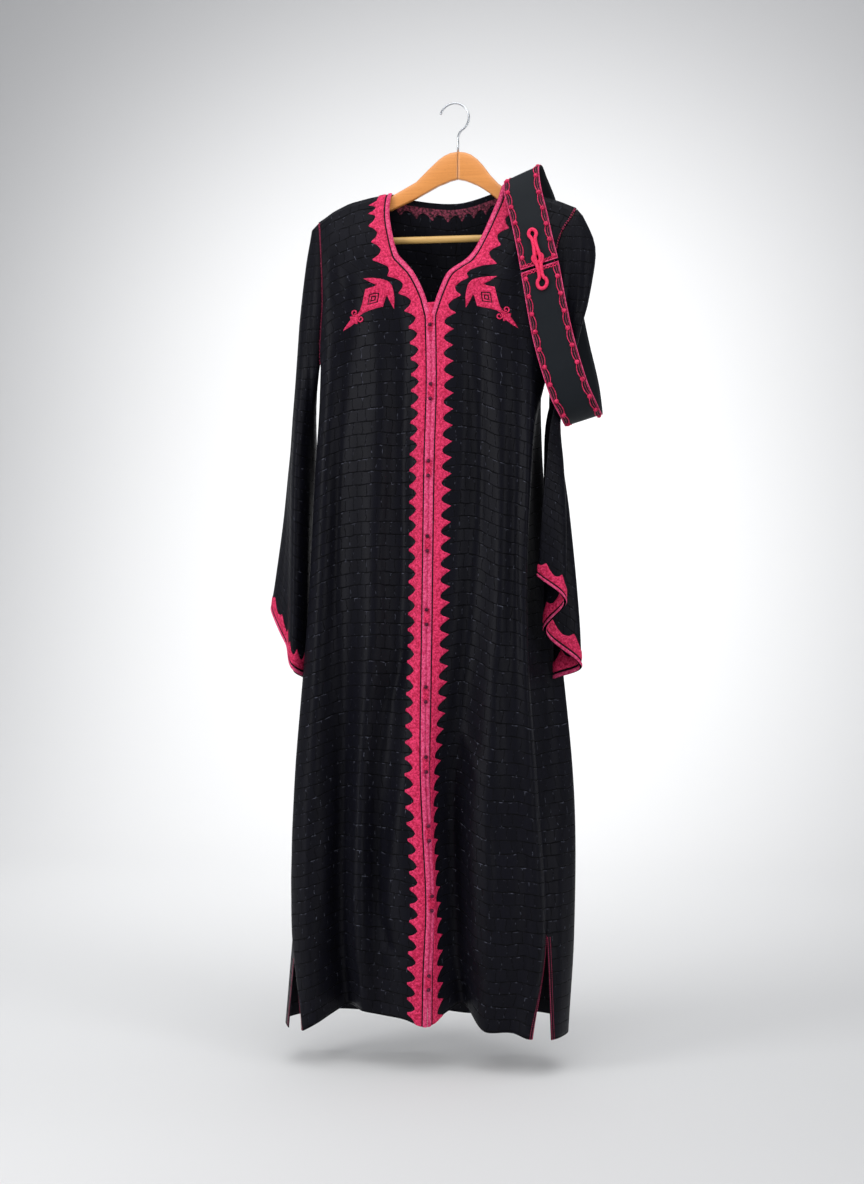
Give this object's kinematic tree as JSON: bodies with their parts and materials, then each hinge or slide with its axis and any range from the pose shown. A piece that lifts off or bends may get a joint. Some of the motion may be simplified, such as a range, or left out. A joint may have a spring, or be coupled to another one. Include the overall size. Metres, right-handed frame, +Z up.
{
  "type": "jebba on a wooden clothes hanger",
  "caption": "Long black jacquard robe with pink toothed embroidery and a stiff belt looped over one shoulder, hanging on a wooden clothes hanger with a steel hook.",
  "frame": {"origin": "topmost inner point of the hanger's hook, where a rail carries it", "axes": "+Z up, -Y is the garment's front, +X is the viewer's right when looking at the front"},
  "size_m": [0.5719, 0.1804, 1.5477],
  "materials": {
    "black jacquard": "satin jacquard",
    "pink embroidery": "dense matt thread",
    "pink braid": "braided cord",
    "dark knots": "knotted cord",
    "belt cloth": "stiff matt cloth",
    "varnished beech": "clear varnish",
    "pale beech": "clear varnish",
    "chromed steel": "polished"
  },
  "bodies": {
    "root": {"front_left": "black jacquard", "front_right": "black jacquard", "back": "black jacquard", "sleeve_left": "black jacquard", "sleeve_right": "black jacquard", "braid_left": "pink braid", "braid_right": "pink braid", "braid_back_neck": "pink braid", "cuff_braid_left": "pink braid", "cuff_braid_right": "pink braid", "frog_upper": "pink braid", "frog_lower": "pink braid", "embroidery_left": "pink embroidery", "embroidery_right": "pink embroidery", "embroidery_back_neck": "pink embroidery", "cuff_embroidery_left": "pink embroidery", "cuff_embroidery_right": "pink embroidery", "motif_left": "pink embroidery", "motif_right": "pink embroidery", "button_01": "pink embroidery", "button_02": "pink embroidery", "button_03": "pink embroidery", "button_04": "pink embroidery", "button_05": "pink embroidery", "button_06": "pink embroidery", "button_07": "pink embroidery", "button_08": "pink embroidery", "button_09": "pink embroidery", "button_10": "pink embroidery", "belt": "belt cloth", "hanger_hook": "chromed steel", "hanger_arm_left": "varnished beech", "hanger_arm_right": "varnished beech", "hanger_bar": "pale beech"}
  },
  "joints": []
}
